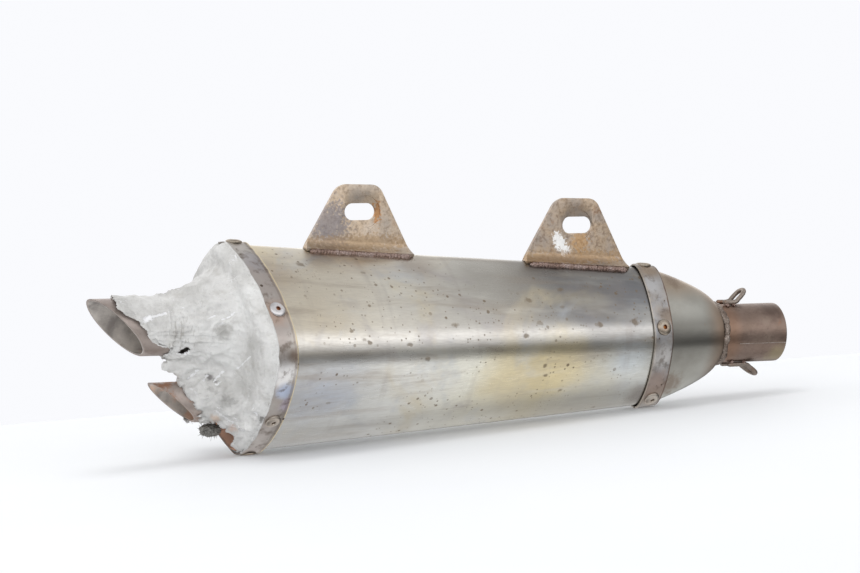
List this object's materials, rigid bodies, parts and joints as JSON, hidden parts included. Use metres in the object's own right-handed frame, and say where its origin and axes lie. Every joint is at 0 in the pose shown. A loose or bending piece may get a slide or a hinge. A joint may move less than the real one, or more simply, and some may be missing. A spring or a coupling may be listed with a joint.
{
  "type": "exhaust muffler",
  "caption": "Tapered diamond-section motorcycle slip-on muffler: riveted can, slotted hanger plates, sprung inlet socket, slash-cut twin outlets, foil-wrapped tail.",
  "frame": {"origin": "centre of the inlet pipe's mouth", "axes": "+X runs along the inlet pipe's axis and out of its mouth, towards the engine; +Z points at the hanger brackets; +Y is the side that the bracket plates' flat far faces look to, which is the wheel side"},
  "size_m": [0.4764, 0.133, 0.1684],
  "materials": {
    "sleeve_steel": "brushed stainless steel with straw heat tint and fine pitting",
    "band_steel": "stainless strap with blue and violet heat tint",
    "cone_steel": "pressed stainless steel, olive grey",
    "pipe_steel": "stainless tube tinted bronze brown by heat",
    "tail_steel": "stainless tube, sooty inside and rusty at the cuts",
    "bracket_steel": "heat-stained and lightly rusted steel plate",
    "weld": "granular weld metal",
    "rivet": "satin stainless rivet",
    "foil": "crumpled matte foil",
    "inner_steel": "sooty sheet steel",
    "steel_wool": "steel wool mat",
    "glass_wool": "glass fibre packing",
    "burnt_wool": "burnt packing wool"
  },
  "bodies": {
    "root": {"foil_wrap": "foil", "front_baffle": "inner_steel", "front_band": "band_steel", "front_band_rivet_1": "rivet", "front_band_rivet_2": "rivet", "front_band_rivet_3": "rivet", "front_band_rivet_4": "rivet", "front_band_rivet_5": "rivet", "front_bracket": "bracket_steel", "front_bracket_inner_bead": "weld", "front_bracket_outer_bead": "weld", "front_cone": "cone_steel", "glass_wool_packing": "glass_wool", "inlet_pipe": "pipe_steel", "inlet_weld": "weld", "lower_spring_hook": "pipe_steel", "lower_tailpipe": "tail_steel", "outer_sleeve": "sleeve_steel", "packing_tuft": "burnt_wool", "perforated_core": "inner_steel", "rear_baffle": "inner_steel", "rear_band": "band_steel", "rear_band_rivet_1": "rivet", "rear_band_rivet_2": "rivet", "rear_band_rivet_3": "rivet", "rear_band_rivet_4": "rivet", "rear_band_rivet_5": "rivet", "rear_band_rivet_6": "rivet", "rear_bracket": "bracket_steel", "rear_bracket_inner_bead": "weld", "rear_bracket_outer_bead": "weld", "rear_cap": "tail_steel", "steel_wool_wrap": "steel_wool", "upper_spring_hook": "pipe_steel", "upper_tailpipe": "tail_steel"}
  },
  "joints": []
}
